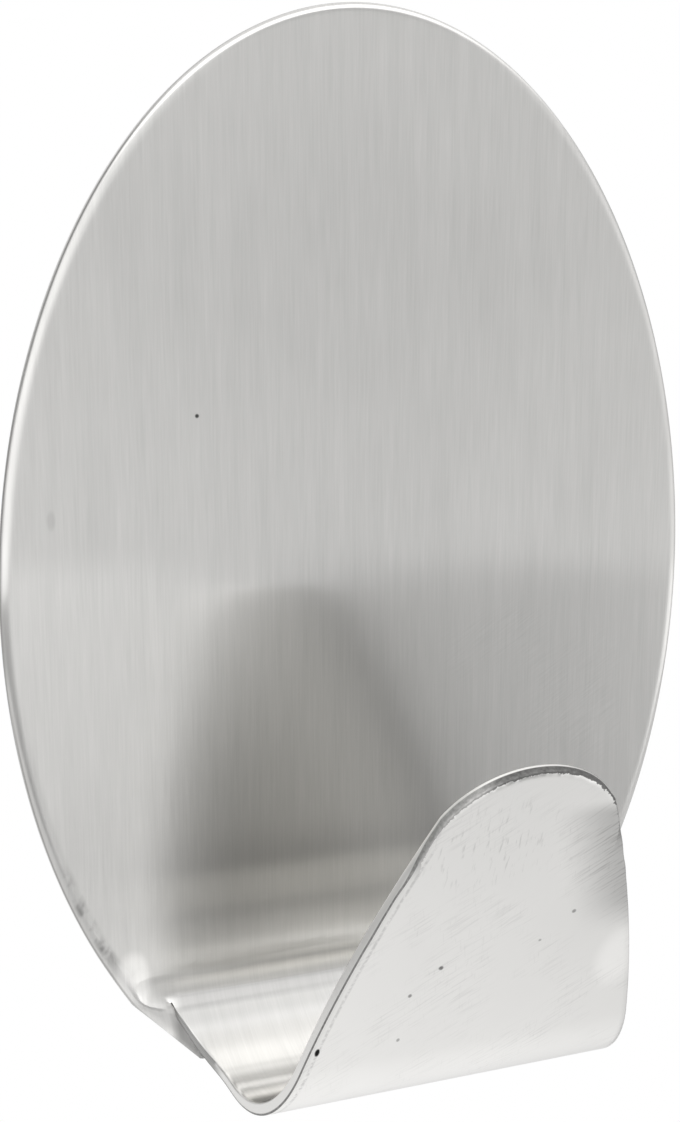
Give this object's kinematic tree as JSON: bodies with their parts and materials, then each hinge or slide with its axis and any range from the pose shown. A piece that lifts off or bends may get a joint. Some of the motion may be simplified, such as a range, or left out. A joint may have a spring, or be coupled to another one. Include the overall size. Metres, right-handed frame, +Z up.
{
  "type": "adhesive wall hook",
  "caption": "Oval brushed-steel wall hook whose bent-up tongue carries a towel, cloth or key loop, stuck on by a foam adhesive pad with a peel-off liner.",
  "frame": {"origin": "centre of the oval on the pad's rear face, where the liner lies against the wall", "axes": "+Y from the hook into the wall, +Z up along the oval's height, +X to the right for a viewer facing the hook"},
  "size_m": [0.031, 0.0181, 0.0445],
  "materials": {
    "steel": "front brushed along the height, back left as rolled",
    "adhesive": "tacky clear film",
    "foam": "closed-cell foam",
    "liner": "silicone-coated paper"
  },
  "bodies": {
    "hook": {"steel_hook": "steel", "front_adhesive": "adhesive", "foam_pad": "foam", "rear_adhesive": "adhesive"},
    "liner": {"release_liner": "liner"}
  },
  "joints": [
    {"name": "liner_release", "type": "slide", "parent": "hook", "child": "liner", "axis": [0, 1, 0], "range_m": [0, 0.012]}
  ]
}
